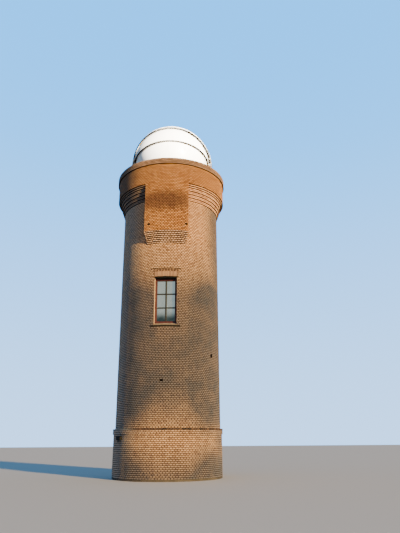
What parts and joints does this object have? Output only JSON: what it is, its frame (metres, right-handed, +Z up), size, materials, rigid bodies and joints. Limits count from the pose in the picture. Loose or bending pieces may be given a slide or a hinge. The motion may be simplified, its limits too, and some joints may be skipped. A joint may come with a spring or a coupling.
{
  "type": "brick observatory tower with clamshell dome",
  "caption": "Round brick observatory tower with a corbelled head, a gallery parapet and a white dome of nested shells that fold down to front and rear.",
  "frame": {"origin": "centre of the underside of the foundation slab, at ground level", "axes": "+Z up, -Y towards the window and bay of the front, +X to the right of someone who faces that front, along the dome's pivot axis"},
  "size_m": [5.56, 5.56, 17.685],
  "materials": {
    "cream_brick": "rough cream-buff facing brick with flush lime joints",
    "ochre_brick": "rough ochre-orange facing brick with flush lime joints",
    "concrete": "trowelled concrete",
    "red_timber": "dark red oil paint on softwood",
    "green_timber": "dark grey-green oil paint on softwood",
    "window_glass": "clear float glass",
    "white_laminate": "white gelcoat on glass fibre laminate",
    "pivot_steel": "turned steel",
    "black_metal": "satin black powder coat"
  },
  "bodies": {
    "tower": {"foundation_slab": "concrete", "upper_floor": "concrete", "roof_slab": "concrete", "plinth_front_right": "cream_brick", "plinth_rear_right": "cream_brick", "plinth_rear_left": "cream_brick", "plinth_front_left": "cream_brick", "string_course_right": "cream_brick", "string_course_left": "cream_brick", "shaft_lower_front_right": "cream_brick", "shaft_lower_rear_right": "cream_brick", "shaft_lower_rear_left": "cream_brick", "shaft_lower_front_left": "cream_brick", "shaft_window_storey_front_right": "cream_brick", "shaft_window_storey_rear_right": "cream_brick", "shaft_window_storey_rear_left": "cream_brick", "shaft_window_storey_front_left": "cream_brick", "shaft_upper_front_right": "cream_brick", "shaft_upper_rear_right": "cream_brick", "shaft_upper_rear_left": "cream_brick", "shaft_upper_front_left": "cream_brick", "cornice_front_right": "ochre_brick", "cornice_rear_right": "ochre_brick", "cornice_rear_left": "ochre_brick", "cornice_front_left": "ochre_brick", "drum_wall_front_right": "ochre_brick", "drum_wall_rear_right": "ochre_brick", "drum_wall_rear_left": "ochre_brick", "drum_wall_front_left": "ochre_brick", "coping_right": "ochre_brick", "coping_left": "ochre_brick", "front_bay": "ochre_brick", "front_window_frame": "red_timber", "front_window_bars": "green_timber", "front_window_glass": "window_glass", "front_window_sill": "cream_brick", "front_window_hood": "cream_brick", "rear_bay": "ochre_brick", "rear_window_frame": "red_timber", "rear_window_bars": "green_timber", "rear_window_glass": "window_glass", "rear_window_sill": "cream_brick", "rear_window_hood": "cream_brick", "door_frame": "red_timber", "door_leaf": "red_timber", "door_lintel": "concrete", "wall_fitting": "black_metal", "dome_curb": "white_laminate", "dome_base": "white_laminate", "pivot_pin_right": "pivot_steel", "pivot_pin_left": "pivot_steel"},
    "front_top": {"front_top_shell": "white_laminate"},
    "front_mid": {"front_mid_shell": "white_laminate"},
    "rear_top": {"rear_top_shell": "white_laminate"},
    "rear_mid": {"rear_mid_shell": "white_laminate"}
  },
  "joints": [
    {"name": "front_top_fold", "type": "hinge", "parent": "tower", "child": "front_top", "pos_m": [0, 0, 15.525], "axis": [1, 0, 0], "range_deg": [0, 80]},
    {"name": "front_mid_fold", "type": "hinge", "parent": "tower", "child": "front_mid", "pos_m": [0, 0, 15.525], "axis": [1, 0, 0], "range_deg": [0, 36]},
    {"name": "rear_top_fold", "type": "hinge", "parent": "tower", "child": "rear_top", "pos_m": [0, 0, 15.525], "axis": [-1, 0, 0], "range_deg": [0, 80]},
    {"name": "rear_mid_fold", "type": "hinge", "parent": "tower", "child": "rear_mid", "pos_m": [0, 0, 15.525], "axis": [-1, 0, 0], "range_deg": [0, 36]}
  ],
  "couplings": [
    {"joint": "front_mid_fold", "follows": "front_top_fold", "ratio": 0.45},
    {"joint": "rear_mid_fold", "follows": "rear_top_fold", "ratio": 0.45}
  ]
}
